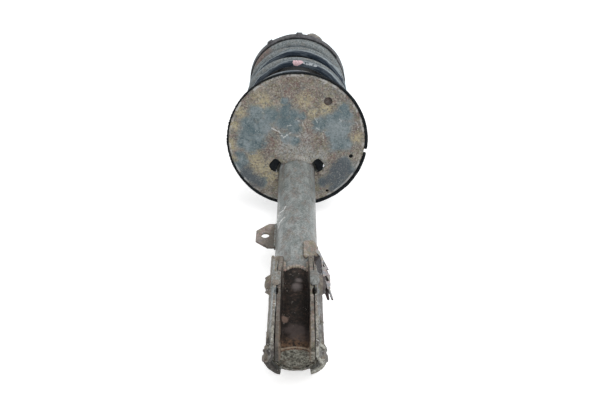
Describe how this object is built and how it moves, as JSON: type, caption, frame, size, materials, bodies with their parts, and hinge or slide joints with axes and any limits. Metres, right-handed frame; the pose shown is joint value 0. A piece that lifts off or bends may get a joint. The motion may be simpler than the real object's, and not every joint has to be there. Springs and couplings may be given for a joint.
{
  "type": "front suspension strut assembly",
  "caption": "Car front strut: twin-tube damper with clevis bracket, offset coil spring between round seats and a rubber top mount with a ball bearing.",
  "frame": {"origin": "centre of the stud circle on the top mount's tower face, on the damper's axis", "axes": "+Y along the damper's axis towards the body of the car, +Z towards the open side of the knuckle bracket, +X completes the frame"},
  "size_m": [0.173, 0.708, 0.2138],
  "materials": {
    "tube_paint": "worn satin paint",
    "bracket_steel": "worn paint with rust",
    "rusty_steel": "rusty",
    "weld_metal": "rough",
    "seat_paint": "worn paint with rust",
    "spring_paint": "semi-gloss",
    "pan_paint": "satin",
    "plate_steel": "dull, rusty",
    "rubber": "matte",
    "boot_rubber": "matte",
    "foam": "matte foam",
    "rod_chrome": "polished",
    "bearing_steel": "ground",
    "bare_steel": "drawn",
    "zinc": "zinc plated",
    "sintered_iron": "matte",
    "slide_band": "matte",
    "cage_plastic": "matte"
  },
  "bodies": {
    "strut_body": {"strut_tube": "tube_paint", "bottom_cap": "tube_paint", "knuckle_bracket_outer": "bracket_steel", "knuckle_bracket_inner": "rusty_steel", "bracket_welds": "weld_metal", "lower_spring_seat": "seat_paint", "lower_insulator": "rubber", "brake_hose_tab": "rusty_steel", "sensor_wire_bracket": "rusty_steel", "inner_tube": "bare_steel", "base_valve": "sintered_iron", "rod_guide": "sintered_iron", "oil_seal": "rubber", "tube_cap": "tube_paint", "coil_spring": "spring_paint"},
    "rod": {"piston_rod": "rod_chrome", "piston": "sintered_iron", "piston_band": "slide_band", "piston_nut": "bare_steel", "rebound_stop": "bare_steel", "bump_stop": "foam", "dust_boot": "boot_rubber", "upper_insulator": "rubber", "upper_spring_seat": "pan_paint", "bearing_inner_race": "bearing_steel", "rod_washer": "zinc", "rod_nut": "zinc"},
    "bearing_cage": {"ball_cage": "cage_plastic", "bearing_balls": "bearing_steel"},
    "top_mount": {"bearing_outer_race": "bearing_steel", "mount_hub": "pan_paint", "mount_rubber": "rubber", "mount_plate": "plate_steel", "tower_studs": "zinc"}
  },
  "joints": [
    {"name": "damper_stroke", "type": "slide", "parent": "strut_body", "child": "rod", "axis": [0, -1, 0], "range_m": [0, 0.14], "stiffness_N_per_m": 20000, "deforming": ["coil_spring", "dust_boot"]},
    {"name": "mount_turn", "type": "hinge", "parent": "rod", "child": "top_mount", "pos_m": [0, -0.014, 0], "axis": [0, 1, 0], "continuous": true},
    {"name": "cage_turn", "type": "hinge", "parent": "rod", "child": "bearing_cage", "pos_m": [0, -0.014, 0], "axis": [0, 1, 0], "continuous": true}
  ],
  "couplings": [
    {"joint": "cage_turn", "follows": "mount_turn", "ratio": 0.6015}
  ]
}
